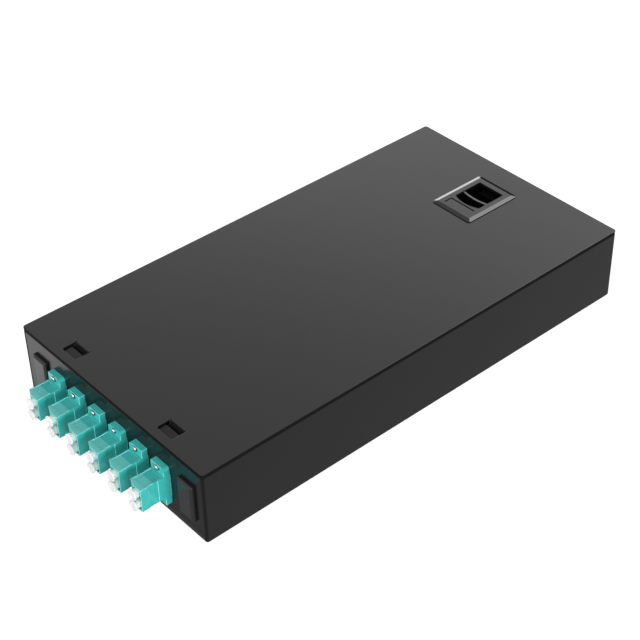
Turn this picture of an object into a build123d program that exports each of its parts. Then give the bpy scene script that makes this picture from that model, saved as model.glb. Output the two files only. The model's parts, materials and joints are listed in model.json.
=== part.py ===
from build123d import *
import os

os.makedirs("parts", exist_ok=True)

# Wall-mount fibre termination box, lying on its back: millimetres, +Z out of the wall.
# The origin is the middle of the wall face; -Y is the adapter panel, +Y the cable entries.

# Box
box_width = 135.0
box_length = 260.0
box_height = 40.0
base_sheet = 1.0
lid_sheet = 1.0
bend_radius = 1.5
front_flange = 9.3
rear_flange = 9.0
side_flange = 8.0
relief_gap = 0.6

# Sides of the small rounds that repeat out of sight: bores, shanks, sleeves
small_round_sides = 8

half_length = box_length / 2
base_top = box_height - lid_sheet
flange_under = base_top - base_sheet
panel_face = Plane.XZ.offset(half_length)
rear_face = Plane.XZ.offset(-half_length)

# Wall screw holes in the floor
wall_hole_radius = 2.5
wall_hole_spacing_x = 100.0
wall_hole_spacing_y = 190.0

# Port pattern on the panel: the two end ports are blanked
port_pitch = 15.7
port_count = 8
port_z = 18.5
cutout_clearance = 0.2
port_columns = [(i - (port_count - 1) / 2) * port_pitch for i in range(port_count)]

# Duplex adapter, mounted upright
adapter_width = 9.2
adapter_height = 12.4
adapter_front = 15.6
adapter_rear = 15.0
adapter_flange_height = 21.0
adapter_flange = 3.1
adapter_flange_round = 1.5
adapter_rim = 0.55
latch_side_cut_x = 3.9
latch_side_cut_y = 1.7
waist_start = 6.4
waist_end = 11.3
waist_depth = 0.3
top_pocket_margin = 0.8
top_pocket_depth = 0.3
port_size = 4.9
port_spacing = 6.25
port_offset = 1.3
port_depth = 12.0
mouth_recess = 1.2
key_width = 3.0
key_depth = 1.2
holder_radius = 1.4
holder_length = 3.6

# Split sleeve that aligns the two ferrules
sleeve_radius = 0.81
sleeve_bore = 0.625
sleeve_length = 6.8
sleeve_slit = 0.3
sleeve_clearance = 0.06
sleeve_end_gap = 0.1
ferrule_hole = 0.66

# Adapter fixings
fixing_spacing = 18.0
fixing_radius = 1.0
fixing_clearance = 0.15
fixing_head_radius = 1.45
fixing_head_height = 0.9
fixing_head_crown = 0.35
fixing_tail = 1.0
fixing_nut_across = 4.0
fixing_nut_height = 1.6

# Dust caps
cap_disc_radius = 3.0
cap_disc = 1.7
cap_gap = 2.0
cap_neck_radius = 2.35
cap_neck_length = 8.0
cap_dish_radius = 1.9
cap_dish_depth = 0.5

# Blank plugs, set a little to the right and above the port's middle
blank_width = 10.0
blank_height = 20.0
blank_shift_x = 1.3
blank_shift_z = 1.1
blank_stand = 2.6
blank_bevel = 1.1
blank_cutout_width = 7.6
blank_cutout_height = 12.8
blank_leg_wall = 1.6
blank_leg_length = 4.2
blank_barb = 0.6

# Lid hooks, lanced from the sheet and tucked under the front flange
hook_spacing = 71.6
hook_hole_width = 10.7
hook_hole_inset = 4.4
hook_hole_length = 7.2
hook_hole_round = 1.2
hook_side_gap = 0.4
hook_under_gap = 0.8
hook_overlap = 2.0
hook_run = 1.7
hook_bend = 0.3
lid_corner_radius = 1.5

# Slide latch in the lid: fore and aft places are measured from its middle
latch_x = 0.75
latch_inset = 32.0
bezel_width = 26.2
bezel_length = 34.8
bezel_height = 1.0
bezel_rim = 0.35
bezel_bevel = 2.1
bezel_corner = 1.5
bezel_top_corner = 0.3
bezel_top_sheet = 1.6
latch_body_width = 21.4
latch_body_length = 31.0
latch_body_depth = 7.0
latch_wall = 1.2
latch_front_block = 4.2
latch_cutout_gap = 0.2
window_width = 16.5
window_front = -7.3
window_rear = 12.3
window_bow = 2.0
thumb_recess_width = 16.5
thumb_recess_front = -13.5
thumb_recess_rear = -8.3
thumb_recess_depth = 0.4
snap_reach = 0.9
snap_height = 1.3
snap_length = 6.0
snap_pitch = 16.0
rail_reach = 1.0
rail_height = 1.3
slide_gap = 0.1
slide_side_gap = 0.15
slider_plate = 1.4
slider_travel = 3.5
slider_bar = 1.1
slider_bar_width = 16.0
slider_bar_bow = 1.0
slider_bar_setback = 6.5
slider_bar_below = 0.4
tongue_width = 12.0
tongue_sheet = 1.2
tongue_flange_gap = 0.8
tongue_retreat = 1.0
tongue_web = 1.5
retainer_sheet = 1.4
retainer_screw_spacing = 14.0
retainer_screw_radius = 0.9
retainer_screw_depth = 4.0
retainer_head_radius = 1.7
retainer_head_height = 1.1

# Splice tray on four pillars
tray_width = 108.0
tray_length = 124.0
tray_corner = 26.0
tray_wall = 1.6
tray_floor = 1.6
tray_height = 9.0
tray_y = -4.0
pillar_spacing_x = 84.0
pillar_spacing_y = 60.0
pillar_height = 7.0
pillar_across = 5.5
pillar_bore = 1.25
tray_screw_radius = 1.2
tray_screw_length = 5.0
tray_screw_head_across = 5.0
tray_screw_head = 1.6
tray_hole_radius = 1.6
tab_length = 8.0
tab_reach = 5.0
tab_sheet = 1.2
hub_radius = 9.5
hub_wall = 1.6
hub_height = 6.0
hub_spacing = 44.0
gate_width = 12.0
gate_offset = 24.0
tie_slot_width = 1.8
tie_slot_length = 4.0
tie_slot_pitch = 6.0
comb_width = 36.0
comb_length = 30.0
comb_base = 1.0
comb_height = 6.0
comb_slots = 6
comb_slot_width = 3.4
comb_rib_gap = 12.0

# Cable entries: grommet, saddle, clamp
entry_spacing = 70.0
entry_z = 13.5
cable_radius = 4.5
grommet_hole_radius = 7.0
grommet_lip_radius = 9.0
grommet_lip = 1.8
saddle_inset = 22.0
saddle_sheet = 1.2
saddle_depth = 12.0
saddle_width = 28.0
saddle_foot = 6.0
clamp_sheet = 1.2
clamp_depth = 10.0
clamp_screw_spacing = 19.0
clamp_screw_radius = 1.5
clamp_screw_hole = 1.65
clamp_screw_head_across = 5.5
clamp_screw_head = 2.0
clamp_screw_length = 6.0
clamp_nut_across = 5.5
clamp_nut_height = 2.4

# Earth stud
earth_x = 0.0
earth_inset = 26.0
earth_radius = 2.5
earth_length = 14.0
earth_chamfer = 0.5
earth_collar_radius = 5.0
earth_collar = 1.5
earth_groove_radius = 2.2
earth_groove = 0.6
earth_nut_across = 8.0
earth_nut_height = 4.0
earth_nut_clearance = 0.05
earth_washer_radius = 5.0
earth_washer = 1.0

adapter_columns = port_columns[1:-1]
blank_centres = [x + blank_shift_x for x in (port_columns[0], port_columns[-1])]
sleeve_middle = half_length + (adapter_front - adapter_rear) / 2
fixing_hole = fixing_radius + fixing_clearance
retainer_hole = retainer_screw_radius + slide_gap
latch_y = half_length - latch_inset
saddle_y = half_length - saddle_inset
earth_y = half_length - earth_inset


# Base tray: one folded sheet with returns at the top
def base_tray_part():
    opening_width = box_width - 2 * (base_sheet + side_flange)
    opening_front = -half_length + front_flange
    opening_rear = half_length - rear_flange
    opening_length = opening_rear - opening_front
    with BuildPart() as tray:
        Box(box_width, box_length, base_top, align=(Align.CENTER, Align.CENTER, Align.MIN))
        fillet(tray.edges(), bend_radius)
        with Locations((0, 0, base_sheet)):
            Box(
                box_width - 2 * base_sheet,
                box_length - 2 * base_sheet,
                base_top - 2 * base_sheet,
                align=(Align.CENTER, Align.CENTER, Align.MIN),
                mode=Mode.SUBTRACT,
            )
        # Mouth between the returns
        with BuildSketch(Plane.XY.offset(base_top)):
            with Locations((0, (opening_front + opening_rear) / 2)):
                Rectangle(opening_width, opening_length)
        extrude(amount=-2 * base_sheet, mode=Mode.SUBTRACT)
        # Relief slits where the side returns meet the end returns
        with BuildSketch(Plane.XY.offset(base_top)):
            slit_x = opening_width / 2 + side_flange / 2
            for slit_y in (opening_front + relief_gap / 2, opening_rear - relief_gap / 2):
                with Locations((-slit_x, slit_y), (slit_x, slit_y)):
                    Rectangle(side_flange, relief_gap)
        extrude(amount=-2 * base_sheet, mode=Mode.SUBTRACT)
        # Adapter cut-outs and their fixing holes
        with BuildSketch(panel_face):
            with Locations(*[(x, port_z) for x in adapter_columns]):
                Rectangle(adapter_width + 2 * cutout_clearance, adapter_height + 2 * cutout_clearance)
                with Locations((0, fixing_spacing / 2), (0, -fixing_spacing / 2)):
                    RegularPolygon(fixing_hole, small_round_sides, major_radius=False)
        extrude(amount=-2 * base_sheet, mode=Mode.SUBTRACT)
        # Cut-outs for the blank plugs
        with BuildSketch(panel_face):
            with Locations(*[(x, port_z) for x in blank_centres]):
                Rectangle(blank_cutout_width, blank_cutout_height)
        extrude(amount=-2 * base_sheet, mode=Mode.SUBTRACT)
        # Cable entry holes
        with BuildSketch(rear_face):
            with Locations((-entry_spacing / 2, entry_z), (entry_spacing / 2, entry_z)):
                Circle(grommet_hole_radius)
        extrude(amount=2 * base_sheet, mode=Mode.SUBTRACT)
        # Wall screw holes
        with BuildSketch():
            with GridLocations(wall_hole_spacing_x, wall_hole_spacing_y, 2, 2):
                Circle(wall_hole_radius)
        extrude(amount=2 * base_sheet, mode=Mode.SUBTRACT)
    return tray


base_tray = base_tray_part()
base_tray.part.label = "base_tray"
export_step(base_tray.part, "parts/base_tray.step")


# Lid: flat sheet with two hooks and the latch cut-out
def lid_part():
    hook_columns = (-hook_spacing / 2, hook_spacing / 2)
    hook_width = hook_hole_width - 2 * hook_side_gap
    outer_bend = hook_bend + lid_sheet
    hole_front = -half_length + hook_hole_inset
    root = hole_front + hook_hole_length
    hole_rear = root + outer_bend
    tongue_top = flange_under - hook_under_gap
    tongue_low = tongue_top - lid_sheet
    tongue_tip = -half_length + front_flange - hook_overlap
    drop = box_height - tongue_top
    slant = lid_sheet * (hook_run**2 + drop**2) ** 0.5 / drop
    heel = root + slant - hook_run * (box_height - tongue_low) / drop
    hip = root + slant - hook_run * lid_sheet / drop
    with BuildPart() as plate:
        with BuildSketch(Plane.XY.offset(base_top)):
            RectangleRounded(box_width, box_length, lid_corner_radius)
            with Locations((latch_x, latch_y)):
                Rectangle(
                    latch_body_width + 2 * latch_cutout_gap,
                    latch_body_length + 2 * latch_cutout_gap,
                    mode=Mode.SUBTRACT,
                )
        extrude(amount=lid_sheet)
        # Hook holes, long enough at the rear to relieve the bends
        with BuildSketch(Plane.XY.offset(base_top)) as holes:
            with Locations(*[(x, (hole_front + hole_rear) / 2) for x in hook_columns]):
                Rectangle(hook_hole_width, hole_rear - hole_front)
            fillet(holes.vertices().group_by(Axis.Y)[0], hook_hole_round)
        extrude(amount=lid_sheet, mode=Mode.SUBTRACT)
        # Hooks: each bends down from the rear of its hole, then forward under the flange
        for x in hook_columns:
            with BuildSketch(Plane.YZ.offset(x - hook_width / 2)):
                with BuildLine():
                    upper = FilletPolyline(
                        (hole_rear, box_height),
                        (root, box_height),
                        (root - hook_run, tongue_top),
                        (tongue_tip, tongue_top),
                        radius=[outer_bend, hook_bend],
                    )
                    lower = FilletPolyline(
                        (hole_rear, base_top),
                        (hip, base_top),
                        (heel, tongue_low),
                        (tongue_tip, tongue_low),
                        radius=[hook_bend, outer_bend],
                    )
                    Line(upper @ 0, lower @ 0)
                    Line(upper @ 1, lower @ 1)
                make_face()
            extrude(amount=hook_width)
    return plate


lid = lid_part()
lid.part.label = "lid"
export_step(lid.part, "parts/lid.step")


# Cutter for the two ports of a housing half: square mouths, latch keys on the left, sleeve bores
def port_cutter(column_x, mouth, inward):
    places = [(column_x + port_offset, port_z + s * port_spacing / 2) for s in (1, -1)]
    web = mouth + inward * port_depth
    holder_tip = web - inward * holder_length
    with BuildPart() as cutter:
        with BuildSketch(Plane.XZ.offset(-mouth)):
            with Locations(*places):
                Rectangle(port_size, port_size)
                with Locations((-(port_size + key_depth) / 2, 0)):
                    Rectangle(key_depth, key_width)
        extrude(amount=-inward * port_depth)
        # Sleeve holders stay standing on the web
        with BuildSketch(Plane.XZ.offset(-web)):
            with Locations(*places):
                RegularPolygon(holder_radius, small_round_sides)
        extrude(amount=inward * holder_length, mode=Mode.SUBTRACT)
        # Ferrule hole through the holder, wider where the sleeve lies so that it stays captive
        with BuildSketch(panel_face):
            with Locations(*places):
                RegularPolygon(ferrule_hole, small_round_sides, major_radius=False)
        extrude(amount=-half_length - holder_tip)
        sleeve_seat = -sleeve_middle - inward * (sleeve_length / 2 + sleeve_end_gap)
        with BuildSketch(panel_face):
            with Locations(*places):
                RegularPolygon(sleeve_radius + sleeve_clearance, small_round_sides, major_radius=False)
        extrude(amount=-half_length - sleeve_seat)
    return cutter


# Duplex adapter, front half: flanged nose with the outer ports
def adapter_front_part(column_x):
    left = column_x - adapter_width / 2
    right = column_x + adapter_width / 2
    nose = -half_length - adapter_front
    low = port_z - adapter_height / 2
    high = port_z + adapter_height / 2
    with BuildPart() as half:
        # Body, cut back at the latch side of the nose
        with BuildSketch(Plane.XY.offset(low)):
            with BuildLine():
                Polyline(
                    (left, -half_length),
                    (right, -half_length),
                    (right, nose),
                    (left + latch_side_cut_x, nose),
                    (left, nose + latch_side_cut_y),
                    close=True,
                )
            make_face()
        extrude(amount=adapter_height)
        # Flange on the panel, its ears drilled for the fixings
        with BuildSketch(panel_face) as ears:
            with Locations((column_x, port_z)):
                Rectangle(adapter_width, adapter_flange_height)
            corners = ears.vertices().sort_by(Axis.X)
            rounded = [corners[:2].sort_by(Axis.Z)[0], corners[-2:].sort_by(Axis.Z)[-1]]
            fillet(rounded, adapter_flange_round)
            with Locations((column_x, port_z)):
                with Locations((0, fixing_spacing / 2), (0, -fixing_spacing / 2)):
                    RegularPolygon(fixing_hole, small_round_sides, major_radius=False, mode=Mode.SUBTRACT)
        extrude(amount=adapter_flange)
        # Waist round both sides, where a spring clip would sit
        with BuildSketch(Plane.XY.offset(low)):
            with Locations(
                (left, -half_length - (waist_start + waist_end) / 2),
                (right, -half_length - (waist_start + waist_end) / 2),
            ):
                Rectangle(2 * waist_depth, waist_end - waist_start)
        extrude(amount=adapter_height, mode=Mode.SUBTRACT)
        # Shallow pocket in the upper face
        pocket_start = adapter_flange + top_pocket_margin
        pocket_end = waist_end + 2 * top_pocket_margin
        with BuildSketch(Plane.XY.offset(high)):
            with Locations((column_x, -half_length - (pocket_start + pocket_end) / 2)):
                Rectangle(adapter_width - 2 * top_pocket_margin, pocket_end - pocket_start)
        extrude(amount=-top_pocket_depth, mode=Mode.SUBTRACT)
        # Recessed mouth inside a thin rim
        with BuildSketch(Plane.XZ.offset(-nose)):
            with Locations((column_x, port_z)):
                Rectangle(adapter_width - 2 * adapter_rim, adapter_height - 2 * adapter_rim)
        extrude(amount=-mouth_recess, mode=Mode.SUBTRACT)
        add(port_cutter(column_x, nose, 1).part, mode=Mode.SUBTRACT)
    return half


# Duplex adapter, rear half: passes through the panel and holds the inner ports
def adapter_rear_part(column_x):
    with BuildPart() as half:
        with BuildSketch(panel_face):
            with Locations((column_x, port_z)):
                Rectangle(adapter_width, adapter_height)
        extrude(amount=-adapter_rear)
        add(port_cutter(column_x, -half_length + adapter_rear, -1).part, mode=Mode.SUBTRACT)
    return half


for number, column_x in enumerate(adapter_columns, start=1):
    adapter_front_half = adapter_front_part(column_x)
    adapter_front_half.part.label = f"lc_adapter_{number}"
    export_step(adapter_front_half.part, f"parts/lc_adapter_{number}.step")
    adapter_rear_half = adapter_rear_part(column_x)
    adapter_rear_half.part.label = f"lc_adapter_rear_{number}"
    export_step(adapter_rear_half.part, f"parts/lc_adapter_rear_{number}.step")


port_axes = [
    (x + port_offset, port_z + s * port_spacing / 2) for x in adapter_columns for s in (1, -1)
]
fixing_axes = [(x, port_z + s * fixing_spacing / 2) for x in adapter_columns for s in (1, -1)]


# Split ceramic sleeves, one on each port axis
def sleeves_part():
    with BuildPart() as sleeves:
        with BuildSketch(Plane.XZ.offset(sleeve_middle + sleeve_length / 2)):
            with Locations(*port_axes):
                RegularPolygon(sleeve_radius, small_round_sides)
                RegularPolygon(sleeve_bore, small_round_sides, major_radius=False, mode=Mode.SUBTRACT)
                with Locations((0, sleeve_radius)):
                    Rectangle(sleeve_slit, sleeve_radius, mode=Mode.SUBTRACT)
        extrude(amount=-sleeve_length)
    return sleeves


alignment_sleeves = sleeves_part()
alignment_sleeves.part.label = "alignment_sleeves"
export_step(alignment_sleeves.part, "parts/alignment_sleeves.step")


# Adapter screws: round heads on the flange ears, tails through the nuts
def adapter_screws_part():
    head_seat = Plane.XZ.offset(half_length + adapter_flange)
    grip = adapter_flange + base_sheet + fixing_nut_height + fixing_tail
    with BuildPart() as screws:
        with BuildSketch(head_seat):
            with Locations(*fixing_axes):
                Circle(fixing_head_radius)
        extrude(amount=fixing_head_height)
        crowns = screws.faces().filter_by(Axis.Y).sort_by(Axis.Y).group_by(Axis.Y)[0]
        chamfer(crowns.edges(), fixing_head_crown)
        with BuildSketch(head_seat):
            with Locations(*fixing_axes):
                RegularPolygon(fixing_radius, small_round_sides)
        extrude(amount=-grip)
    return screws


adapter_screws = adapter_screws_part()
adapter_screws.part.label = "adapter_screws"
export_step(adapter_screws.part, "parts/adapter_screws.step")


# Adapter nuts behind the panel
def adapter_nuts_part():
    with BuildPart() as nuts:
        with BuildSketch(Plane.XZ.offset(half_length - base_sheet)):
            with Locations(*fixing_axes):
                RegularPolygon(fixing_nut_across / 2, 6, major_radius=False)
                RegularPolygon(fixing_hole, small_round_sides, major_radius=False, mode=Mode.SUBTRACT)
        extrude(amount=-fixing_nut_height)
    return nuts


adapter_nuts = adapter_nuts_part()
adapter_nuts.part.label = "adapter_nuts"
export_step(adapter_nuts.part, "parts/adapter_nuts.step")


# Dust cap: a dished disc on a plain neck that fills the mouth of its port
def dust_cap_part(axis_x, axis_z):
    neck_front = half_length + adapter_front + cap_gap
    disc_front = neck_front + cap_disc
    with BuildPart() as cap:
        with BuildSketch(Plane.XZ.offset(disc_front)):
            with Locations((axis_x, axis_z)):
                Circle(cap_disc_radius)
        extrude(amount=-cap_disc)
        with BuildSketch(Plane.XZ.offset(neck_front)):
            with Locations((axis_x, axis_z)):
                Circle(cap_neck_radius)
        extrude(amount=-cap_neck_length)
        with BuildSketch(Plane.XZ.offset(disc_front)):
            with Locations((axis_x, axis_z)):
                Circle(cap_dish_radius)
        extrude(amount=-cap_dish_depth, mode=Mode.SUBTRACT)
    return cap


for number, column_x in enumerate(adapter_columns, start=1):
    for level, side in (("upper", 1), ("lower", -1)):
        dust_cap = dust_cap_part(column_x + port_offset, port_z + side * port_spacing / 2)
        dust_cap.part.label = f"dust_cap_{number}_{level}"
        export_step(dust_cap.part, f"parts/dust_cap_{number}_{level}.step")


# Blank plug: bevelled block with two snap legs through the unused cut-out
def blank_plug_part(centre_x):
    leg_height = blank_cutout_height - 2 * blank_barb
    leg_x = blank_cutout_width / 2 - cutout_clearance - blank_leg_wall / 2
    barb_width = cutout_clearance + blank_barb
    barb_x = blank_cutout_width / 2 - cutout_clearance + barb_width / 2
    with BuildPart() as blank:
        with BuildSketch(panel_face):
            with Locations((centre_x, port_z + blank_shift_z)):
                Rectangle(blank_width, blank_height)
        extrude(amount=blank_stand)
        chamfer(blank.faces().sort_by(Axis.Y)[0].edges(), blank_bevel)
        with BuildSketch(panel_face):
            with Locations((centre_x - leg_x, port_z), (centre_x + leg_x, port_z)):
                Rectangle(blank_leg_wall, leg_height)
        extrude(amount=-blank_leg_length)
        # Barbs behind the panel
        with BuildSketch(Plane.XZ.offset(half_length - base_sheet - slide_gap)):
            with Locations((centre_x - barb_x, port_z), (centre_x + barb_x, port_z)):
                Rectangle(barb_width, leg_height / 2)
        extrude(amount=-blank_leg_length / 2)
    return blank


for side, centre_x in zip(("left", "right"), blank_centres):
    blank_plug = blank_plug_part(centre_x)
    blank_plug.part.label = f"blank_plug_{side}"
    export_step(blank_plug.part, f"parts/blank_plug_{side}.step")


latch_low = box_height - latch_body_depth
cavity_width = latch_body_width - 2 * latch_wall
cavity_front = -latch_body_length / 2 + latch_front_block
cavity_rear = latch_body_length / 2 - latch_wall
cavity_middle = (cavity_front + cavity_rear) / 2
retainer_screw_row = (-latch_body_length + latch_front_block) / 2
tongue_top_z = flange_under - tongue_flange_gap
tongue_low_z = tongue_top_z - tongue_sheet
plate_low_z = latch_low + slide_gap
plate_top_z = plate_low_z + slider_plate


# Level plane of the latch, with its origin on the latch's middle
def latch_plane(height):
    return Plane(origin=(latch_x, latch_y, height))


# Latch bezel: bevelled frame on the lid with the slide housing below it
def latch_bezel_part():
    top_z = box_height + bezel_height
    window_side = window_width / 2
    window_corner = window_front + window_bow
    with BuildPart() as bezel:
        # Bevelled frame on a low upright rim
        with BuildSketch(latch_plane(box_height)):
            RectangleRounded(bezel_width, bezel_length, bezel_corner)
        extrude(amount=bezel_rim)
        with BuildSketch(latch_plane(box_height + bezel_rim)):
            RectangleRounded(bezel_width, bezel_length, bezel_corner)
        with BuildSketch(latch_plane(top_z)):
            RectangleRounded(
                bezel_width - 2 * bezel_bevel,
                bezel_length - 2 * bezel_bevel,
                bezel_top_corner,
            )
        loft(ruled=True)
        # Housing through the lid
        with BuildSketch(latch_plane(latch_low)):
            Rectangle(latch_body_width, latch_body_length)
        extrude(amount=latch_body_depth)
        with BuildSketch(latch_plane(latch_low)):
            with Locations((0, cavity_middle)):
                Rectangle(cavity_width, cavity_rear - cavity_front)
        extrude(amount=top_z - bezel_top_sheet - latch_low, mode=Mode.SUBTRACT)
        # Window with its bowed front edge
        with BuildSketch(latch_plane(top_z)):
            with BuildLine():
                Polyline(
                    (-window_side, window_corner),
                    (-window_side, window_rear),
                    (window_side, window_rear),
                    (window_side, window_corner),
                )
                ThreePointArc((-window_side, window_corner), (0, window_front), (window_side, window_corner))
            make_face()
        extrude(amount=-2 * bezel_top_sheet, mode=Mode.SUBTRACT)
        # Thumb rest in front of the window
        with BuildSketch(latch_plane(top_z)):
            with Locations((0, (thumb_recess_front + thumb_recess_rear) / 2)):
                Rectangle(thumb_recess_width, thumb_recess_rear - thumb_recess_front)
        extrude(amount=-thumb_recess_depth, mode=Mode.SUBTRACT)
        # Slot for the tongue in the rear wall
        with BuildSketch(Plane.XZ.offset(-latch_y - cavity_rear)):
            with Locations((latch_x, (tongue_top_z + tongue_low_z) / 2)):
                Rectangle(tongue_width + 4 * slide_gap, tongue_sheet + 4 * slide_gap)
        extrude(amount=-2 * latch_wall, mode=Mode.SUBTRACT)
        # Rails above the slider plate
        rail_x = cavity_width / 2 - rail_reach / 2
        with BuildSketch(latch_plane(plate_top_z + slide_gap)):
            with Locations((-rail_x, cavity_middle), (rail_x, cavity_middle)):
                Rectangle(rail_reach, cavity_rear - cavity_front)
        extrude(amount=rail_height)
        # Snap ledges under the lid sheet
        with BuildSketch(latch_plane(base_top - slide_gap - snap_height)):
            with GridLocations(latch_body_width + snap_reach, snap_pitch, 2, 2):
                Rectangle(snap_reach, snap_length)
        extrude(amount=snap_height)
        # Screw holes for the retainer
        with BuildSketch(latch_plane(latch_low)):
            with Locations((0, retainer_screw_row)):
                with GridLocations(retainer_screw_spacing, 1, 2, 1):
                    RegularPolygon(retainer_hole, small_round_sides, major_radius=False)
        extrude(amount=retainer_screw_depth, mode=Mode.SUBTRACT)
    return bezel


latch_bezel = latch_bezel_part()
latch_bezel.part.label = "latch_bezel"
export_step(latch_bezel.part, "parts/latch_bezel.step")


# Latch slider, drawn forward: plate, bowed finger bar and the tongue for the rear flange
def latch_slider_part():
    slider_front = cavity_front + slide_gap
    slider_rear = cavity_rear - slide_gap - slider_travel
    tongue_tip = half_length - rear_flange - tongue_retreat - latch_y
    bar_front = window_front + slider_bar_setback
    bar_top = box_height + bezel_height - slider_bar_below
    bar_side = slider_bar_width / 2
    outer_radius = (bar_side**2 + slider_bar_bow**2) / (2 * slider_bar_bow)
    inner_radius = outer_radius - slider_bar
    outer_end = bar_front + slider_bar_bow
    inner_end = bar_front + outer_radius - (inner_radius**2 - bar_side**2) ** 0.5
    with BuildPart() as slider:
        with BuildSketch(latch_plane(plate_low_z)):
            with Locations((0, (slider_front + slider_rear) / 2)):
                Rectangle(cavity_width - 2 * slide_side_gap, slider_rear - slider_front)
        extrude(amount=slider_plate)
        # Finger bar
        with BuildSketch(latch_plane(plate_top_z)):
            with BuildLine():
                ThreePointArc((-bar_side, outer_end), (0, bar_front), (bar_side, outer_end))
                Line((bar_side, outer_end), (bar_side, inner_end))
                ThreePointArc((bar_side, inner_end), (0, bar_front + slider_bar), (-bar_side, inner_end))
                Line((-bar_side, inner_end), (-bar_side, outer_end))
            make_face()
        extrude(amount=bar_top - plate_top_z)
        # Web and tongue
        with BuildSketch(latch_plane(plate_top_z)):
            with Locations((0, slider_rear - tongue_web / 2)):
                Rectangle(tongue_width, tongue_web)
        extrude(amount=tongue_low_z - plate_top_z)
        with BuildSketch(latch_plane(tongue_low_z)):
            with Locations((0, (slider_rear - tongue_web + tongue_tip) / 2)):
                Rectangle(tongue_width, tongue_tip - slider_rear + tongue_web)
        extrude(amount=tongue_sheet)
        lead = slider.faces().sort_by(Axis.Y)[-1].edges().sort_by(Axis.Z)[-1]
        chamfer(lead, tongue_sheet / 2)
    return slider


latch_slider = latch_slider_part()
latch_slider.part.label = "latch_slider"
export_step(latch_slider.part, "parts/latch_slider.step")


# Retainer plate that closes the slide housing from below
def latch_retainer_part():
    with BuildPart() as retainer:
        with BuildSketch(latch_plane(latch_low)):
            RectangleRounded(latch_body_width, latch_body_length, latch_wall)
            with Locations((0, retainer_screw_row)):
                with GridLocations(retainer_screw_spacing, 1, 2, 1):
                    RegularPolygon(retainer_hole, small_round_sides, major_radius=False, mode=Mode.SUBTRACT)
        extrude(amount=-retainer_sheet)
    return retainer


latch_retainer = latch_retainer_part()
latch_retainer.part.label = "latch_retainer"
export_step(latch_retainer.part, "parts/latch_retainer.step")


# Two small screws that hold the retainer
def latch_screws_part():
    seat = latch_plane(latch_low - retainer_sheet)
    with BuildPart() as screws:
        with BuildSketch(seat):
            with Locations((0, retainer_screw_row)):
                with GridLocations(retainer_screw_spacing, 1, 2, 1):
                    Circle(retainer_head_radius)
        extrude(amount=-retainer_head_height)
        with BuildSketch(seat):
            with Locations((0, retainer_screw_row)):
                with GridLocations(retainer_screw_spacing, 1, 2, 1):
                    RegularPolygon(retainer_screw_radius, small_round_sides)
        extrude(amount=retainer_sheet + retainer_screw_depth - slide_gap)
    return screws


latch_screws = latch_screws_part()
latch_screws.part.label = "latch_screws"
export_step(latch_screws.part, "parts/latch_screws.step")


tray_low = base_sheet + pillar_height
tray_floor_top = tray_low + tray_floor
tray_top = tray_low + tray_height


# Splice tray: shallow racetrack dish with hubs, retaining tabs and gated corners
def splice_tray_part():
    inner_width = tray_width - 2 * tray_wall
    inner_length = tray_length - 2 * tray_wall
    with BuildPart() as tray:
        with BuildSketch(Plane.XY.offset(tray_low)):
            with Locations((0, tray_y)):
                RectangleRounded(tray_width, tray_length, tray_corner)
        extrude(amount=tray_height)
        with BuildSketch(Plane.XY.offset(tray_floor_top)):
            with Locations((0, tray_y)):
                RectangleRounded(inner_width, inner_length, tray_corner - tray_wall)
        extrude(amount=tray_height, mode=Mode.SUBTRACT)
        # Fibre gates through the end walls
        with BuildSketch(Plane.XY.offset(tray_floor_top)):
            with Locations((0, tray_y)):
                with GridLocations(2 * gate_offset, tray_length - tray_wall, 2, 2):
                    Rectangle(gate_width, 3 * tray_wall)
        extrude(amount=tray_height, mode=Mode.SUBTRACT)
        # Coil hubs, open towards the splice comb between them
        with BuildSketch(Plane.XY.offset(tray_floor_top)):
            for side in (-1, 1):
                with Locations((0, tray_y + side * hub_spacing)):
                    Circle(hub_radius + hub_wall)
                    Circle(hub_radius, mode=Mode.SUBTRACT)
                    with Locations((0, -side * hub_radius)):
                        Rectangle(2 * hub_radius, 2 * hub_radius, mode=Mode.SUBTRACT)
        extrude(amount=hub_height)
        # Retaining tabs along the top of the side and end walls
        tab_z = tray_top - tab_sheet
        with BuildSketch(Plane.XY.offset(tab_z)):
            tab_x = tray_width / 2 - tray_wall - tab_reach / 2
            tab_y = tray_length / 2 - tray_wall - tab_reach / 2
            with Locations((0, tray_y)):
                with GridLocations(2 * tab_x, tray_length / 3, 2, 2):
                    Rectangle(tab_reach + tray_wall, tab_length)
                with GridLocations(1, 2 * tab_y, 1, 2):
                    Rectangle(tab_length, tab_reach + tray_wall)
        extrude(amount=tab_sheet)
        # Tie slots inside each gate
        with BuildSketch(Plane.XY.offset(tray_low)):
            slot_y = tray_length / 2 - tray_wall - tie_slot_length - tray_wall
            with Locations((0, tray_y)):
                with GridLocations(2 * gate_offset, 2 * slot_y, 2, 2):
                    with GridLocations(tie_slot_pitch, 1, 2, 1):
                        Rectangle(tie_slot_width, tie_slot_length)
        extrude(amount=tray_floor, mode=Mode.SUBTRACT)
        # Screw holes over the pillars
        with BuildSketch(Plane.XY.offset(tray_low)):
            with Locations((0, tray_y)):
                with GridLocations(pillar_spacing_x, pillar_spacing_y, 2, 2):
                    RegularPolygon(tray_hole_radius, small_round_sides, major_radius=False)
        extrude(amount=tray_floor, mode=Mode.SUBTRACT)
    return tray


splice_tray = splice_tray_part()
splice_tray.part.label = "splice_tray"
export_step(splice_tray.part, "parts/splice_tray.step")


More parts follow.
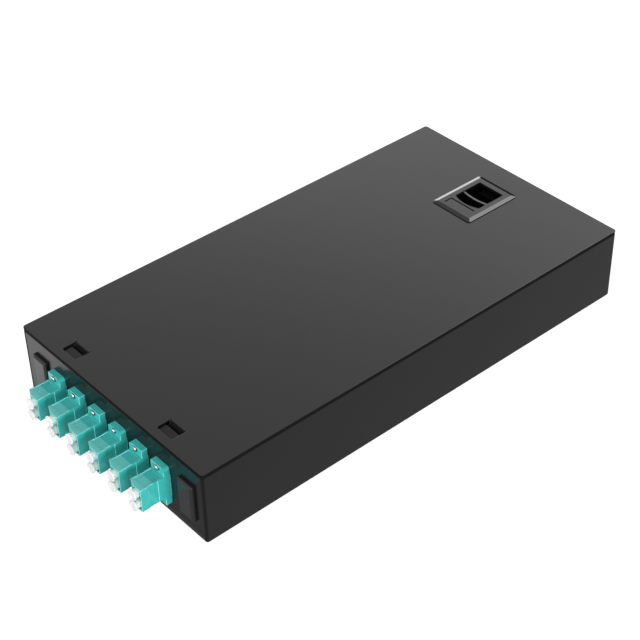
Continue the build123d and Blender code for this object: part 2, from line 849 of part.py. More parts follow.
# Splice comb: ribs in two rows that grip the splice protectors
def splice_comb_part():
    rib_width = (comb_width - comb_slots * comb_slot_width) / (comb_slots + 1)
    rib_pitch = rib_width + comb_slot_width
    rib_length = (comb_length - comb_rib_gap) / 2
    with BuildPart() as comb:
        with BuildSketch(Plane.XY.offset(tray_floor_top)):
            with Locations((0, tray_y)):
                Rectangle(comb_width, comb_length)
        extrude(amount=comb_base)
        with BuildSketch(Plane.XY.offset(tray_floor_top + comb_base)):
            with Locations((0, tray_y)):
                with GridLocations(rib_pitch, rib_length + comb_rib_gap, comb_slots + 1, 2):
                    Rectangle(rib_width, rib_length)
        extrude(amount=comb_height - comb_base)
    return comb


splice_comb = splice_comb_part()
splice_comb.part.label = "splice_comb"
export_step(splice_comb.part, "parts/splice_comb.step")


# Hexagonal pillars under the splice tray
def tray_pillars_part():
    with BuildPart() as pillars:
        with BuildSketch(Plane.XY.offset(base_sheet)):
            with Locations((0, tray_y)):
                with GridLocations(pillar_spacing_x, pillar_spacing_y, 2, 2):
                    RegularPolygon(pillar_across / 2, 6, major_radius=False)
                    RegularPolygon(pillar_bore, small_round_sides, major_radius=False, mode=Mode.SUBTRACT)
        extrude(amount=pillar_height)
    return pillars


tray_pillars = tray_pillars_part()
tray_pillars.part.label = "tray_pillars"
export_step(tray_pillars.part, "parts/tray_pillars.step")


# Screws through the tray floor into the pillars
def tray_screws_part():
    with BuildPart() as screws:
        with BuildSketch(Plane.XY.offset(tray_floor_top)):
            with Locations((0, tray_y)):
                with GridLocations(pillar_spacing_x, pillar_spacing_y, 2, 2):
                    RegularPolygon(tray_screw_head_across / 2, 6, major_radius=False)
        extrude(amount=tray_screw_head)
        with BuildSketch(Plane.XY.offset(tray_floor_top)):
            with Locations((0, tray_y)):
                with GridLocations(pillar_spacing_x, pillar_spacing_y, 2, 2):
                    RegularPolygon(tray_screw_radius, small_round_sides)
        extrude(amount=-tray_screw_length)
    return screws


tray_screws = tray_screws_part()
tray_screws.part.label = "tray_screws"
export_step(tray_screws.part, "parts/tray_screws.step")


entry_columns = (-entry_spacing / 2, entry_spacing / 2)
saddle_top = entry_z - cable_radius


# Rubber grommet with a groove round the edge of its entry hole
def grommet_part(entry_x):
    inner = half_length - base_sheet
    profile_plane = Plane(origin=(entry_x, 0, entry_z), x_dir=(1, 0, 0), z_dir=(0, 0, 1))
    with BuildPart() as grommet:
        with BuildSketch(profile_plane):
            with BuildLine():
                Polyline(
                    (cable_radius, inner - grommet_lip),
                    (grommet_lip_radius, inner - grommet_lip),
                    (grommet_lip_radius, inner),
                    (grommet_hole_radius, inner),
                    (grommet_hole_radius, half_length),
                    (grommet_lip_radius, half_length),
                    (grommet_lip_radius, half_length + grommet_lip),
                    (cable_radius, half_length + grommet_lip),
                    close=True,
                )
            make_face()
        revolve(axis=Axis((entry_x, 0, entry_z), (0, 1, 0)))
    return grommet


# Cable saddle: a bridge of bent strip on the floor, drilled for the clamp screws
def saddle_part(entry_x):
    low = saddle_top - saddle_sheet
    with BuildPart() as saddle:
        with BuildSketch(Plane.XZ.offset(-saddle_y - saddle_depth / 2)):
            half_span = saddle_width / 2
            with Locations((entry_x, saddle_top - saddle_sheet / 2)):
                Rectangle(saddle_width, saddle_sheet)
            for side in (-1, 1):
                leg_x = entry_x + side * (half_span - saddle_sheet / 2)
                with Locations((leg_x, (base_sheet + saddle_top) / 2)):
                    Rectangle(saddle_sheet, saddle_top - base_sheet)
                foot_x = entry_x + side * (half_span + saddle_foot / 2 - saddle_sheet / 2)
                with Locations((foot_x, base_sheet + saddle_sheet / 2)):
                    Rectangle(saddle_foot + saddle_sheet, saddle_sheet)
        extrude(amount=saddle_depth)
        with BuildSketch(Plane.XY.offset(low)):
            with Locations((entry_x, saddle_y)):
                with GridLocations(clamp_screw_spacing, 1, 2, 1):
                    RegularPolygon(clamp_screw_hole, small_round_sides, major_radius=False)
        extrude(amount=saddle_sheet, mode=Mode.SUBTRACT)
    return saddle


# Cable clamp: a strap arched over the cable, with a foot on each side
def clamp_part(entry_x):
    outer = cable_radius + clamp_sheet
    reach = (clamp_screw_spacing + clamp_screw_head_across) / 2
    with BuildPart() as clamp:
        with BuildSketch(Plane.XZ.offset(-saddle_y - clamp_depth / 2)):
            with Locations((entry_x, entry_z)):
                Circle(outer)
            with Locations((entry_x, (entry_z + saddle_top) / 2)):
                Rectangle(2 * outer, entry_z - saddle_top)
            with Locations((entry_x, saddle_top + clamp_sheet / 2)):
                Rectangle(2 * reach, clamp_sheet)
            with Locations((entry_x, entry_z)):
                Circle(cable_radius, mode=Mode.SUBTRACT)
            with Locations((entry_x, (entry_z + saddle_top) / 2)):
                Rectangle(2 * cable_radius, entry_z - saddle_top, mode=Mode.SUBTRACT)
            with Locations((entry_x, saddle_top - outer / 2)):
                Rectangle(2 * outer, outer, mode=Mode.SUBTRACT)
        extrude(amount=clamp_depth)
        with BuildSketch(Plane.XY.offset(saddle_top)):
            with Locations((entry_x, saddle_y)):
                with GridLocations(clamp_screw_spacing, 1, 2, 1):
                    RegularPolygon(clamp_screw_hole, small_round_sides, major_radius=False)
        extrude(amount=clamp_sheet, mode=Mode.SUBTRACT)
    return clamp


for side, entry_x in zip(("left", "right"), entry_columns):
    cable_grommet = grommet_part(entry_x)
    cable_grommet.part.label = f"cable_grommet_{side}"
    export_step(cable_grommet.part, f"parts/cable_grommet_{side}.step")
    cable_saddle = saddle_part(entry_x)
    cable_saddle.part.label = f"cable_saddle_{side}"
    export_step(cable_saddle.part, f"parts/cable_saddle_{side}.step")
    cable_clamp = clamp_part(entry_x)
    cable_clamp.part.label = f"cable_clamp_{side}"
    export_step(cable_clamp.part, f"parts/cable_clamp_{side}.step")


clamp_axes = [(x + s * clamp_screw_spacing / 2, saddle_y) for x in entry_columns for s in (-1, 1)]


# Clamp screws through strap and saddle
def clamp_screws_part():
    seat = saddle_top + clamp_sheet
    with BuildPart() as screws:
        with BuildSketch(Plane.XY.offset(seat)):
            with Locations(*clamp_axes):
                RegularPolygon(clamp_screw_head_across / 2, 6, major_radius=False, rotation=30)
        extrude(amount=clamp_screw_head)
        with BuildSketch(Plane.XY.offset(seat)):
            with Locations(*clamp_axes):
                RegularPolygon(clamp_screw_radius, small_round_sides)
        extrude(amount=-clamp_screw_length)
    return screws


clamp_screws = clamp_screws_part()
clamp_screws.part.label = "clamp_screws"
export_step(clamp_screws.part, "parts/clamp_screws.step")


# Clamp nuts under the saddle
def clamp_nuts_part():
    with BuildPart() as nuts:
        with BuildSketch(Plane.XY.offset(saddle_top - saddle_sheet)):
            with Locations(*clamp_axes):
                RegularPolygon(clamp_nut_across / 2, 6, major_radius=False)
                RegularPolygon(clamp_screw_hole, small_round_sides, major_radius=False, mode=Mode.SUBTRACT)
        extrude(amount=-clamp_nut_height)
    return nuts


clamp_nuts = clamp_nuts_part()
clamp_nuts.part.label = "clamp_nuts"
export_step(clamp_nuts.part, "parts/clamp_nuts.step")


earth_seat = base_sheet + earth_collar
earth_nut_top = earth_seat + earth_washer + earth_nut_height


# Earth stud pressed into the floor, its free end marked off by a groove above the fixed nut
def earth_stud_part():
    with BuildPart() as stud:
        with Locations((earth_x, earth_y, base_sheet)):
            Cylinder(earth_collar_radius, earth_collar, align=(Align.CENTER, Align.CENTER, Align.MIN))
            Cylinder(earth_radius, earth_length, align=(Align.CENTER, Align.CENTER, Align.MIN))
        chamfer(stud.faces().sort_by(Axis.Z)[-1].edges(), earth_chamfer)
        with BuildSketch(Plane.XY.offset(earth_nut_top)):
            with Locations((earth_x, earth_y)):
                Circle(earth_radius)
                Circle(earth_groove_radius, mode=Mode.SUBTRACT)
        extrude(amount=earth_groove, mode=Mode.SUBTRACT)
    return stud


earth_stud = earth_stud_part()
earth_stud.part.label = "earth_stud"
export_step(earth_stud.part, "parts/earth_stud.step")


# Washer and nut on the earth stud
def earth_nut_part():
    with BuildPart() as nut:
        with BuildSketch(Plane.XY.offset(earth_seat)):
            with Locations((earth_x, earth_y)):
                Circle(earth_washer_radius)
        extrude(amount=earth_washer)
        with BuildSketch(Plane.XY.offset(earth_seat + earth_washer)):
            with Locations((earth_x, earth_y)):
                RegularPolygon(earth_nut_across / 2, 6, major_radius=False)
        extrude(amount=earth_nut_height)
        with BuildSketch(Plane.XY.offset(earth_seat)):
            with Locations((earth_x, earth_y)):
                Circle(earth_radius + earth_nut_clearance)
        extrude(amount=earth_washer + earth_nut_height, mode=Mode.SUBTRACT)
    return nut


earth_nut = earth_nut_part()
earth_nut.part.label = "earth_nut"
export_step(earth_nut.part, "parts/earth_nut.step")
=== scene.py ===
import json
import math

import bmesh
import bpy
from mathutils import Matrix, Vector


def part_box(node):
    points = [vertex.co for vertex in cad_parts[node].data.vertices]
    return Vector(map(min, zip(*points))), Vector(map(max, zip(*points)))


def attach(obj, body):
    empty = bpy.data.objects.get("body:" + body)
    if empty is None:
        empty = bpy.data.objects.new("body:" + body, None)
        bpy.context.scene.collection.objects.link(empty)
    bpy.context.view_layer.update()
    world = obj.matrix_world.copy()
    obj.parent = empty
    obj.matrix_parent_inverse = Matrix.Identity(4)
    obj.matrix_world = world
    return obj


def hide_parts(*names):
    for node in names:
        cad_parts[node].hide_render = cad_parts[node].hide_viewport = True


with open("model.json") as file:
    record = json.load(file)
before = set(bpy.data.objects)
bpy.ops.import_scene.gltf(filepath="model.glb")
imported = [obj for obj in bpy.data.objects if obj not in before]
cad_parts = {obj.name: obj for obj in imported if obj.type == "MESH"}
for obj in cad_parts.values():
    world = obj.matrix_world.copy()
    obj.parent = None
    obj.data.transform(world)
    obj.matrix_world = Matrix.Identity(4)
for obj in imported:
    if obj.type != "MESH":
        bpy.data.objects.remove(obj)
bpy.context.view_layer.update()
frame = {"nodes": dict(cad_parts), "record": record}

# Fibre termination box lying on its back: metres, +Z out of the wall, -Y the adapter panel
MM = 0.001
node_slots = {part["node"]: part["material_slot"] for part in frame["record"]["subparts"]}
node_bodies = {
    node: body
    for body, members in frame["record"]["behaviour"]["bodies"].items()
    for node in members
}


# Lowest and highest corner of a node
def corners_of(node):
    low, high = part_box(node)
    return Vector(low), Vector(high)


tray_low, tray_high = corners_of("base_tray")
lid_low, lid_high = corners_of("lid")
adapter_low = corners_of("lc_adapter_1")[0]
cap_low = corners_of("dust_cap_1_upper")[0]
slider_high = corners_of("latch_slider")[1]

# Rounding of edges, by material slot
EDGE_ROUND = {
    "box_sheet": 0.12 * MM,
    "lid_sheet": 0.3 * MM,
    "adapter_plastic": 0.12 * MM,
    "cap_plastic": 0.18 * MM,
    "blank_plastic": 0.15 * MM,
    "latch_plastic": 0.12 * MM,
    "slider_plastic": 0.2 * MM,
    "sleeve_ceramic": 0.0,
    "bright_steel": 0.1 * MM,
    "zinc_steel": 0.12 * MM,
    "plated_brass": 0.12 * MM,
    "grommet_rubber": 0.25 * MM,
    "tray_plastic": 0.2 * MM,
    "comb_plastic": 0.15 * MM,
}
ROUND_STEPS = 2
ROUND_PROFILE = 0.5

# Slots where only outer edges are rounded, with the length that such an edge has at least
SHORTEST_ROUNDED = {"adapter_plastic": 2.5 * MM}

# Points nearer than this become one, and faces that meet at less than this angle become one
WELD = 0.002 * MM
FLAT_ANGLE = math.radians(0.5)

# Edges with a larger angle are rounded, and those left are shaded as creases; some slots have a
# crease angle of their own
SHARP_ANGLE = math.radians(35)
CREASE_ANGLES = {"latch_plastic": math.radians(10), "bright_steel": math.radians(70)}

# Front parts shown slimmer than their solids, by material slot: the solid's depth, how far the
# shown front lies behind the solid's, and the shares of the depth and of the width that are shown
SLIM_FRONTS = {
    "cap_plastic": (1.7 * MM, 1.3 * MM, 0.41, 0.91),
    "blank_plastic": (2.6 * MM, 0.6 * MM, 0.77, 1.0),
}

# Values between which most of a noise lies, and its detail in patches and in fine grain
NOISE_SPAN = (0.3, 0.7)
PATCH_DETAIL = 3.0
GRAIN_DETAIL = 1.0

# How far light spreads inside milky plastic
MILKY_DEPTH = 0.8 * MM


# Noise at a real size, in metres, on the rest shape
def noise_at(tree, place, size, detail=PATCH_DETAIL):
    noise = tree.nodes.new("ShaderNodeTexNoise")
    noise.inputs["Scale"].default_value = 1.0 / size
    noise.inputs["Detail"].default_value = detail
    tree.links.new(place.outputs["Object"], noise.inputs["Vector"])
    return noise.outputs["Fac"]


# Maps a value from one span to another
def mapped(tree, source, from_span, to_span):
    ranged = tree.nodes.new("ShaderNodeMapRange")
    ranged.inputs["From Min"].default_value = from_span[0]
    ranged.inputs["From Max"].default_value = from_span[1]
    ranged.inputs["To Min"].default_value = to_span[0]
    ranged.inputs["To Max"].default_value = to_span[1]
    tree.links.new(source, ranged.inputs["Value"])
    return ranged


# Colour that varies in patches, by a share of itself
def mottled(tree, place, colour, share, size):
    mix = tree.nodes.new("ShaderNodeMix")
    mix.data_type = "RGBA"
    mix.inputs["A"].default_value = (*[c * (1 - share) for c in colour], 1)
    mix.inputs["B"].default_value = (*[min(1.0, c * (1 + share)) for c in colour], 1)
    patches = mapped(tree, noise_at(tree, place, size), NOISE_SPAN, (0, 1))
    tree.links.new(patches.outputs["Result"], mix.inputs["Factor"])
    return mix.outputs["Result"]


# Roughness that varies about its mean
def uneven(tree, place, roughness, change, size):
    span = (roughness - change, roughness + change)
    return mapped(tree, noise_at(tree, place, size), NOISE_SPAN, span).outputs["Result"]


# Fine grain that stands out of the surface by its depth
def grained(tree, place, depth, size):
    bump = tree.nodes.new("ShaderNodeBump")
    bump.inputs["Strength"].default_value = 1.0
    bump.inputs["Distance"].default_value = depth
    tree.links.new(noise_at(tree, place, size, GRAIN_DETAIL), bump.inputs["Height"])
    return bump.outputs["Normal"]


# Finish with mottled colour, uneven gloss and a fine grain, each at its own real size
def surface(
    name,
    colour,
    roughness,
    mottle=0.06,
    mottle_size=6 * MM,
    gloss_change=0.03,
    gloss_size=2 * MM,
    grain_size=0.3 * MM,
    grain_depth=0.004 * MM,
    metallic=0.0,
    ior=1.5,
    translucency=0.0,
    specular=0.5,
    tint=(1.0, 1.0, 1.0),
):
    material = bpy.data.materials.new(name)
    material.use_nodes = True
    tree = material.node_tree
    shader = tree.nodes["Principled BSDF"]
    shader.inputs["Metallic"].default_value = metallic
    shader.inputs["IOR"].default_value = ior
    shader.inputs["Specular IOR Level"].default_value = specular
    shader.inputs["Specular Tint"].default_value = (*tint, 1)
    if translucency:
        shader.inputs["Subsurface Weight"].default_value = translucency
        shader.inputs["Subsurface Radius"].default_value = (1.0, 1.0, 1.0)
        shader.inputs["Subsurface Scale"].default_value = MILKY_DEPTH
    place = tree.nodes.new("ShaderNodeTexCoord")
    base = mottled(tree, place, colour, mottle, mottle_size)
    gloss = uneven(tree, place, roughness, gloss_change, gloss_size)
    grain = grained(tree, place, grain_depth, grain_size)
    tree.links.new(base, shader.inputs["Base Color"])
    tree.links.new(gloss, shader.inputs["Roughness"])
    tree.links.new(grain, shader.inputs["Normal"])
    return material


# Finishes: one for each material slot, and further ones for some faces of a node
BLACK_PAINT = (0.006, 0.006, 0.0062)
COOL_GLOSS = (0.985, 0.98, 1.0)
SMOOTH = {"gloss_change": 0.01, "grain_depth": 0.001 * MM}
PAINTED = {"gloss_change": 0.01, "grain_depth": 0.002 * MM}
POLISHED = {"gloss_change": 0.01, "grain_depth": 0.0005 * MM}
MILKY = {"mottle": 0.01, "translucency": 0.5}
finishes = {
    "box_sheet": surface("black_paint", BLACK_PAINT, 0.2, ior=1.35, **SMOOTH),
    "lid_sheet": surface("black_paint_lid", BLACK_PAINT, 0.22, tint=COOL_GLOSS, **PAINTED),
    # Lighter grey, a painted highlight: edges round the lid's hook holes
    "sheet_painted_highlight": surface("black_paint_painted_highlight", (0.15, 0.15, 0.15), 0.5),
    # Dull near-black, painted shade: sheet edges, bends and faces that look down
    "sheet_painted_shade": surface("black_paint_painted_shade", (0.004, 0.004, 0.004), 0.7, specular=0.1),
    "adapter_plastic": surface("aqua_plastic", (0.05, 0.5, 0.465), 0.07, **POLISHED),
    # Pale aqua, a painted highlight: outer edges of the adapters
    "aqua_painted_highlight": surface("aqua_plastic_painted_highlight", (0.35, 0.98, 0.92), 0.2),
    # Paler matt aqua, with a painted reflection in its colour: front of the adapters' tops
    "aqua_matt_painted_sheen": surface("aqua_plastic_matt_painted_sheen", (0.095, 0.48, 0.455), 0.3),
    # Darker aqua, painted shade: rear of the adapters' tops
    "aqua_painted_shade": surface("aqua_plastic_painted_shade", (0.047, 0.41, 0.385), 0.1, gloss_change=0.01),
    "cap_plastic": surface("milky_plastic", (0.8, 0.81, 0.805), 0.3, **MILKY),
    "cap_neck": surface("milky_plastic_neck", (0.67, 0.8, 0.765), 0.3, **MILKY),
    "blank_plastic": surface("black_plastic", (0.016, 0.016, 0.017), 0.3),
    "latch_plastic": surface("latch_plastic", (0.01, 0.01, 0.0105), 0.13, **SMOOTH),
    # Dull near-black, painted shade: the latch's upright faces, hollows and retainer, and the
    # slider below its top
    "latch_painted_shade": surface("latch_plastic_painted_shade", (0.003, 0.003, 0.003), 0.8, specular=0.05),
    "slider_plastic": surface("slider_plastic", (0.09, 0.09, 0.092), 0.3),
    "sleeve_ceramic": surface("white_ceramic", (0.85, 0.85, 0.82), 0.15),
    "bright_steel": surface("bright_steel", (0.72, 0.73, 0.75), 0.18, metallic=1.0),
    # Dark steel, painted shade: sides and shanks of the screws
    "screw_painted_shade": surface("steel_in_shade", (0.09, 0.1, 0.11), 0.3, metallic=1.0),
    "zinc_steel": surface("zinc_steel", (0.6, 0.61, 0.62), 0.32, metallic=1.0),
    "plated_brass": surface("plated_brass", (0.72, 0.58, 0.32), 0.28, metallic=1.0),
    "grommet_rubber": surface("black_rubber", (0.02, 0.02, 0.02), 0.6),
    "tray_plastic": surface("tray_plastic", (0.04, 0.04, 0.042), 0.4),
    "comb_plastic": surface("comb_plastic", (0.85, 0.86, 0.86), 0.45),
}

# Faces for the further finishes are told by their place, by whether rounding made them, and by
# their normal, whose X, Y and Z are 1 on a face that looks right, to the rear or up

# Cut edges, bends and underside of the lid's sheet, apart from the upper part of its rounding,
# given painted shade in a dull near-black
LID_FLAT_Z = 0.94
LID_ROUND_Z = 0.7


def is_sheet_edge(face, rounded):
    on_upper_round = rounded and face.normal.z > LID_ROUND_Z
    return face.normal.z < LID_FLAT_Z and not on_upper_round


# All of the tray that looks down, its upper bends, and the panel's left end with its bend, given
# painted shade in a dull near-black
UNDER_Z = -0.15
UPPER_BEND_Z = (0.25, 0.98)
UPPER_BEND_LEVEL = tray_high.z - 1.5 * MM
PANEL_Y = -0.5
PANEL_LINE = tray_low.x + 2.3 * MM


def is_tray_shade(face, rounded):
    middle = face.calc_center_median()
    bent = UPPER_BEND_Z[0] < face.normal.z < UPPER_BEND_Z[1]
    on_upper_bend = bent and middle.z > UPPER_BEND_LEVEL
    on_left_end = face.normal.y < PANEL_Y and middle.x < PANEL_LINE
    return face.normal.z < UNDER_Z or on_upper_bend or on_left_end


# Edges round the lid's two hook holes that get a painted highlight in a lighter grey: those at
# the front, which look to the rear, and those at the right, which look left
HOOK_ZONE = (lid_low.y + 5 * MM, lid_low.y + 30 * MM)
HIGHLIGHT_XY = 0.2
HIGHLIGHT_Z = 0.3


def is_hook_highlight(face, rounded):
    in_zone = HOOK_ZONE[0] < face.calc_center_median().y < HOOK_ZONE[1]
    on_side = face.normal.y > HIGHLIGHT_XY or face.normal.x < -HIGHLIGHT_XY
    return rounded and in_zone and on_side and face.normal.z > HIGHLIGHT_Z


# Upright faces of the latch, and all of it that lies below the lid's surface, given painted shade
# in a dull near-black
UPRIGHT_Z = 0.5


def is_latch_shade(face, rounded):
    below_lid_top = face.calc_center_median().z < lid_high.z
    return abs(face.normal.z) < UPRIGHT_Z or below_lid_top


# Every face, for the retainer, which is given painted shade as it lies in the latch's shade
def is_any(face, rounded):
    return True


# All of the slider below the top of its finger bar, given painted shade in a dull near-black; the
# top keeps the slider's grey
GREY_TOP_DEPTH = 0.25 * MM


def is_below_top(face, rounded):
    return face.calc_center_median().z < slider_high.z - GREY_TOP_DEPTH


# All of a screw that doesn't look to the front, given painted shade in a darker steel
SCREW_FRONT_Y = -0.3


def is_screw_rim(face, rounded):
    return face.normal.y > SCREW_FRONT_Y


# Neck of a dust cap, behind its disc
cap_depth, cap_inset = SLIM_FRONTS["cap_plastic"][:2]
DISC_REAR = cap_low.y + cap_depth + cap_inset


def is_cap_neck(face, rounded):
    return face.calc_center_median().y > DISC_REAR


# Top of an adapter in front of its flange, above its ports, given painted shade in a darker aqua,
# and the matt front part of it, whose paler aqua is a painted reflection
FLANGE_DEPTH = 3.1 * MM
FLANGE_FRONT = tray_low.y - FLANGE_DEPTH
MATT_DEPTH = 7.2 * MM
MATT_END = adapter_low.y + MATT_DEPTH
TOP_LEVEL = 20 * MM
TOP_Z = 0.9


def is_adapter_top(face, rounded):
    middle = face.calc_center_median()
    in_front = middle.y < FLANGE_FRONT - WELD
    return face.normal.z > TOP_Z and in_front and middle.z > TOP_LEVEL


def is_matt_sheen_top(face, rounded):
    return is_adapter_top(face, rounded) and face.calc_center_median().y < MATT_END


# Outer edges of an adapter, given a painted highlight in a pale aqua, apart from those of the
# collar before its flange
COLLAR = 2.0 * MM


def is_highlight_edge(face, rounded):
    middle = face.calc_center_median()
    on_collar = FLANGE_FRONT - COLLAR < middle.y < FLANGE_FRONT - WELD
    return rounded and not on_collar


# Further finishes of a node or of a slot, each with the faces that take it; a face takes the
# first that fits
NODE_ACCENTS = {
    "base_tray": [("sheet_painted_shade", is_tray_shade)],
    "lid": [("sheet_painted_highlight", is_hook_highlight), ("sheet_painted_shade", is_sheet_edge)],
    "latch_bezel": [("latch_painted_shade", is_latch_shade)],
    "latch_retainer": [("latch_painted_shade", is_any)],
    "latch_slider": [("latch_painted_shade", is_below_top)],
    "adapter_screws": [("screw_painted_shade", is_screw_rim)],
}
SLOT_ACCENTS = {
    "adapter_plastic": [
        ("aqua_painted_highlight", is_highlight_edge),
        ("aqua_matt_painted_sheen", is_matt_sheen_top),
        ("aqua_painted_shade", is_adapter_top),
    ],
    "cap_plastic": [("cap_neck", is_cap_neck)],
}


# A node's solid, with its near points and its flat faces joined
def solid_form(node):
    form = bmesh.new()
    form.from_mesh(frame["nodes"][node].data)
    bmesh.ops.remove_doubles(form, verts=form.verts, dist=WELD)
    bmesh.ops.dissolve_limit(form, angle_limit=FLAT_ANGLE, verts=form.verts, edges=form.edges)
    return form


# Draws the front of a cap or a plug in to its shown depth and width
def slim_front(form, node, depth, inset, depth_share, width_share):
    low, high = corners_of(node)
    middle = (low + high) / 2
    for vertex in form.verts:
        behind = vertex.co.y - low.y
        if behind < depth + WELD:
            vertex.co.x = middle.x + width_share * (vertex.co.x - middle.x)
            vertex.co.y = low.y + inset + depth_share * behind
            vertex.co.z = middle.z + width_share * (vertex.co.z - middle.z)


# Cuts some faces of a form along a plane
def cut_faces(form, faces, place, normal):
    edges = {edge for face in faces for edge in face.edges}
    corners = {vertex for face in faces for vertex in face.verts}
    whole = [*corners, *edges, *faces]
    bmesh.ops.bisect_plane(form, geom=whole, plane_co=place, plane_no=normal)


# Splits an adapter's top and the panel where their finish changes, and pokes the screws' round
# heads, so that they are shaded as domes
FRONT_Y = -0.99
HEAD_CORNERS = 8


def split_faces(form, node):
    front = [face for face in form.faces if face.normal.y < FRONT_Y]
    if node_slots[node] == "adapter_plastic":
        top = [face for face in form.faces if is_adapter_top(face, False)]
        cut_faces(form, top, (0, MATT_END, 0), (0, 1, 0))
    if node == "base_tray":
        cut_faces(form, front, (PANEL_LINE, 0, 0), (1, 0, 0))
    if node == "adapter_screws":
        heads = [face for face in front if len(face.verts) > HEAD_CORNERS]
        bmesh.ops.poke(form, faces=heads)


# Rounds the sharp edges of a form, and returns the faces that this makes
def round_edges(form, slot_name):
    if not EDGE_ROUND[slot_name]:
        return set()
    sharp = [e for e in form.edges if e.is_manifold and e.calc_face_angle() > SHARP_ANGLE]
    if slot_name in SHORTEST_ROUNDED:
        shortest = SHORTEST_ROUNDED[slot_name]
        sharp = [e for e in sharp if e.is_convex and e.calc_length() > shortest]
    rounded_form = bmesh.ops.bevel(
        form,
        geom=sharp,
        offset=EDGE_ROUND[slot_name],
        offset_type="OFFSET",
        segments=ROUND_STEPS,
        profile=ROUND_PROFILE,
        affect="EDGES",
        clamp_overlap=slot_name not in SHORTEST_ROUNDED,
    )
    return set(rounded_form["faces"])


# Gives each face its finish, and shades the form's creases sharp
def finish_faces(form, slot_name, further, rounding):
    form.normal_update()
    for face in form.faces:
        face.smooth = True
        for index, (_, takes) in enumerate(further, start=1):
            if takes(face, face in rounding):
                face.material_index = index
                break
    crease = CREASE_ANGLES.get(slot_name, SHARP_ANGLE)
    for edge in form.edges:
        edge.smooth = not (edge.is_manifold and edge.calc_face_angle() > crease)


# Adds an object to the scene
def placed(name, data):
    thing = bpy.data.objects.new(name, data)
    bpy.context.scene.collection.objects.link(thing)
    return thing


# Shows a node by a copy of its solid with rounded edges, which stands for it
def dress(node):
    slot_name = node_slots[node]
    further = NODE_ACCENTS.get(node) or SLOT_ACCENTS.get(slot_name, [])
    form = solid_form(node)
    if slot_name in SLIM_FRONTS:
        slim_front(form, node, *SLIM_FRONTS[slot_name])
    split_faces(form, node)
    rounding = round_edges(form, slot_name)
    finish_faces(form, slot_name, further, rounding)
    mesh = bpy.data.meshes.new(f"{node}_skin")
    form.to_mesh(mesh)
    form.free()
    piece = placed(f"{node}_skin", mesh)
    normals = piece.modifiers.new("even_normals", "WEIGHTED_NORMAL")
    normals.keep_sharp = True
    mesh.materials.append(finishes[slot_name])
    for accent, _ in further:
        mesh.materials.append(finishes[accent])
    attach(piece, node_bodies[node])
    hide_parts(node)


for node in frame["nodes"]:
    dress(node)


# Eases a value from one span to another
def eased(tree, source, from_span, to_span):
    ease = mapped(tree, source, from_span, to_span)
    ease.interpolation_type = "SMOOTHSTEP"
    return ease.outputs["Result"]


# Joins two values by an operation
def combined(tree, operation, first, second):
    node = tree.nodes.new("ShaderNodeMath")
    node.operation = operation
    tree.links.new(first, node.inputs[0])
    tree.links.new(second, node.inputs[1])
    return node.outputs["Value"]


# Mixes two shaders, of which the second has the share
def blended(tree, share, first, second):
    mix = tree.nodes.new("ShaderNodeMixShader")
    tree.links.new(share, mix.inputs["Fac"])
    tree.links.new(first, mix.inputs[1])
    tree.links.new(second, mix.inputs[2])
    return mix.outputs["Shader"]


# Sky: even and soft, brighter low down behind the box, with one dark gap low at its rear left
SKY_PALE = 0.665
SKY_BRIGHT = 1.47
BRIGHT_SIDE = Vector((-0.23, 0.59, -0.77))
BRIGHT_SPAN = (-0.045, 0.055)
GAP_SIDE = Vector((-0.45, 0.88, 0.1))
GAP_SPAN = (0.96, 0.985)
GAP_DARK = 0.0
WHITE = (1, 1, 1, 1)


def studio_world():
    world = bpy.data.worlds.new("studio")
    world.use_nodes = True
    tree = world.node_tree
    place = tree.nodes.new("ShaderNodeTexCoord")

    def towards(side):
        dot = tree.nodes.new("ShaderNodeVectorMath")
        dot.operation = "DOT_PRODUCT"
        dot.inputs[1].default_value = side.normalized()
        tree.links.new(place.outputs["Generated"], dot.inputs[0])
        return dot.outputs["Value"]

    bright = eased(tree, towards(BRIGHT_SIDE), BRIGHT_SPAN, (SKY_PALE, SKY_BRIGHT))
    gap = eased(tree, towards(GAP_SIDE), GAP_SPAN, (1.0, GAP_DARK))
    sky = tree.nodes["Background"]
    sky.inputs["Color"].default_value = WHITE
    tree.links.new(combined(tree, "MULTIPLY", bright, gap), sky.inputs["Strength"])
    white = tree.nodes.new("ShaderNodeBackground")
    white.inputs["Color"].default_value = WHITE
    white.inputs["Strength"].default_value = 1.0
    seen = tree.nodes.new("ShaderNodeLightPath").outputs["Is Camera Ray"]
    shader = blended(tree, seen, sky.outputs["Background"], white.outputs["Background"])
    tree.links.new(shader, tree.nodes["World Output"].inputs["Surface"])
    bpy.context.scene.world = world


studio_world()


# Area lamp that faces the box, with its place and size in metres and its power in watts
def lamp(name, place, size, power):
    light = bpy.data.lights.new(name, "AREA")
    light.shape = "RECTANGLE"
    light.size = size[0]
    light.size_y = size[1]
    light.energy = power
    lamp_object = placed(name, light)
    lamp_object.location = place
    lamp_object.rotation_mode = "QUATERNION"
    lamp_object.rotation_quaternion = (-Vector(place)).to_track_quat("-Z", "Y")
    lamp_object.visible_camera = False


lamp("front_softbox", place=(0.35, -1.4, 0.5), size=(0.8, 0.5), power=9.5)
lamp("right_softbox", place=(1.4, -0.35, 0.3), size=(1.0, 0.4), power=12)
lamp("rear_softbox", place=(-0.22, 1.01, 1.2), size=(0.6, 0.6), power=5)
lamp("left_strip", place=(-1.17, 1.01, 0.25), size=(0.3, 0.3), power=0.75)

# Pale floor, white to the camera with the box's soft shadow; in the paint it mirrors as a glowing
# sheet of
# painted light: an even grey round the sides and the rear, and in front a sheet that falls off to
# the right, a painted shadow of the box
FLOOR_REACH = 6.0
FLOOR_LEVEL = -0.2 * MM
FLOOR_GREY = (0.5, 0.5, 0.5, 1)
FLOOR_WHITE = 0.8
FLOOR_GLOW = 1.25
MIRROR_BRIGHT = 1.2
MIRROR_DIM = 0.29
MIRROR_SIDE = 0.56
MIRROR_FALL = (0.0, -100 * MM)
MIRROR_FRONT = (tray_low.y, tray_low.y - 4 * MM)


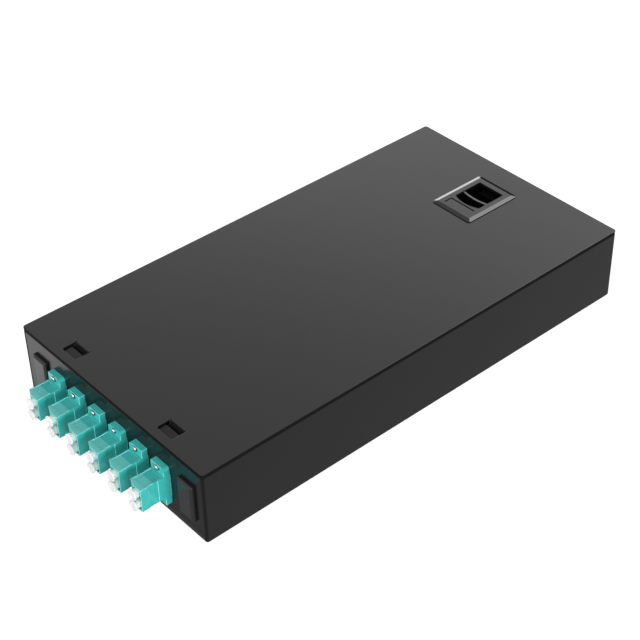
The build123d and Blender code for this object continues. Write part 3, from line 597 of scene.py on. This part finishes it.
def floor_finish():
    material = bpy.data.materials.new("floor")
    material.use_nodes = True
    tree = material.node_tree
    tree.nodes.remove(tree.nodes["Principled BSDF"])
    path = tree.nodes.new("ShaderNodeLightPath")
    pale = tree.nodes.new("ShaderNodeBsdfDiffuse")
    pale.inputs["Color"].default_value = FLOOR_GREY
    white = tree.nodes.new("ShaderNodeEmission")
    white.inputs["Strength"].default_value = FLOOR_GLOW
    share = tree.nodes.new("ShaderNodeMath")
    share.operation = "MULTIPLY"
    share.inputs[1].default_value = FLOOR_WHITE
    tree.links.new(path.outputs["Is Camera Ray"], share.inputs[0])
    seen = blended(tree, share.outputs["Value"], pale.outputs["BSDF"], white.outputs["Emission"])
    place = tree.nodes.new("ShaderNodeTexCoord")
    parts = tree.nodes.new("ShaderNodeSeparateXYZ")
    tree.links.new(place.outputs["Object"], parts.inputs["Vector"])
    fall = eased(tree, parts.outputs["X"], MIRROR_FALL, (MIRROR_DIM, MIRROR_BRIGHT))
    front = eased(tree, parts.outputs["Y"], MIRROR_FRONT, (0.0, 1.0))
    around = eased(tree, parts.outputs["Y"], MIRROR_FRONT, (MIRROR_SIDE, 0.0))
    strength = combined(tree, "MAXIMUM", combined(tree, "MULTIPLY", fall, front), around)
    mirrored = tree.nodes.new("ShaderNodeEmission")
    tree.links.new(strength, mirrored.inputs["Strength"])
    shader = blended(tree, path.outputs["Is Glossy Ray"], seen, mirrored.outputs["Emission"])
    tree.links.new(shader, tree.nodes["Material Output"].inputs["Surface"])
    return material


def studio_floor():
    mesh = bpy.data.meshes.new("floor")
    sides = ((-1, -1), (1, -1), (1, 1), (-1, 1))
    corners = [(sx * FLOOR_REACH, sy * FLOOR_REACH, FLOOR_LEVEL) for sx, sy in sides]
    mesh.from_pydata(corners, [], [(0, 1, 2, 3)])
    mesh.materials.append(floor_finish())
    floor = placed("floor", mesh)


studio_floor()

# Camera: lens, eye, aim and roll that give the view from above the front right corner
SENSOR_WIDTH = 36.0
LENS = 89.17
EYE = Vector((0.45939, -0.39829, 0.49367))
AIM = Vector((0.00282, -0.00897, 0.02))
ROLL = math.radians(-1.26)
CLIP_NEAR = 0.01
CLIP_FAR = 50.0


def studio_camera():
    camera = bpy.data.cameras.new("camera")
    camera.sensor_width = SENSOR_WIDTH
    camera.lens = LENS
    camera.clip_start = CLIP_NEAR
    camera.clip_end = CLIP_FAR
    camera_object = placed("camera", camera)
    aim = (AIM - EYE).to_track_quat("-Z", "Y").to_matrix().to_4x4()
    camera_object.matrix_world = Matrix.Translation(EYE) @ aim @ Matrix.Rotation(ROLL, 4, "Z")
    bpy.context.scene.camera = camera_object


studio_camera()
bpy.context.scene.view_settings.view_transform = "Standard"

bpy.context.view_layer.update()
